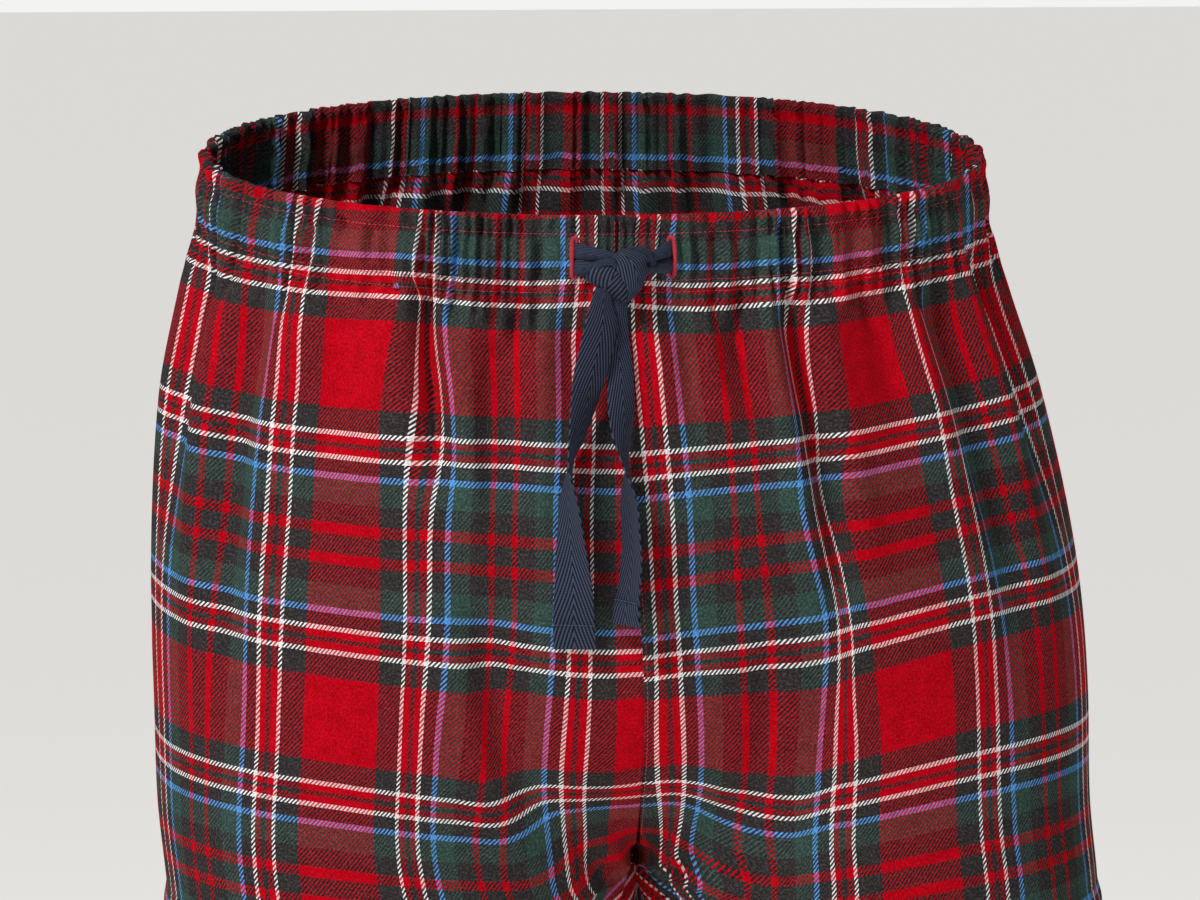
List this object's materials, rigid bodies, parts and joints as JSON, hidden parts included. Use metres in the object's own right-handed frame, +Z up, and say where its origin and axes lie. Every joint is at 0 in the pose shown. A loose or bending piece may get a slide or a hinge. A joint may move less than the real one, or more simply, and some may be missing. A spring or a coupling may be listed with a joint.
{
  "type": "pyjama trousers",
  "caption": "Checked brushed-cotton pyjama trousers, worn and hollow, with a gathered elastic waist and a knotted tape drawcord; two straight legs, open at the waist and hems.",
  "frame": {"origin": "the middle of the waist opening, where the wearer holds the trousers up", "axes": "+Z up out of the waist; the front of the trousers faces -Y; the wearer's left side is at +X"},
  "size_m": [0.4445, 0.2849, 1.0694],
  "materials": {
    "brushed_cotton_check": "brushed twill flannel in a red, charcoal, green, blue and white tartan",
    "cotton_tape": "navy herringbone tape, matt",
    "sewing_thread": "red polyester thread with a slight sheen"
  },
  "bodies": {
    "root": {"waist_casing": "brushed_cotton_check", "front_left": "brushed_cotton_check", "front_right": "brushed_cotton_check", "back_left": "brushed_cotton_check", "back_right": "brushed_cotton_check", "tape_knot": "cotton_tape", "tape_run_left": "cotton_tape", "tape_run_right": "cotton_tape", "tape_tail_left": "cotton_tape", "tape_tail_right": "cotton_tape"}
  },
  "joints": []
}
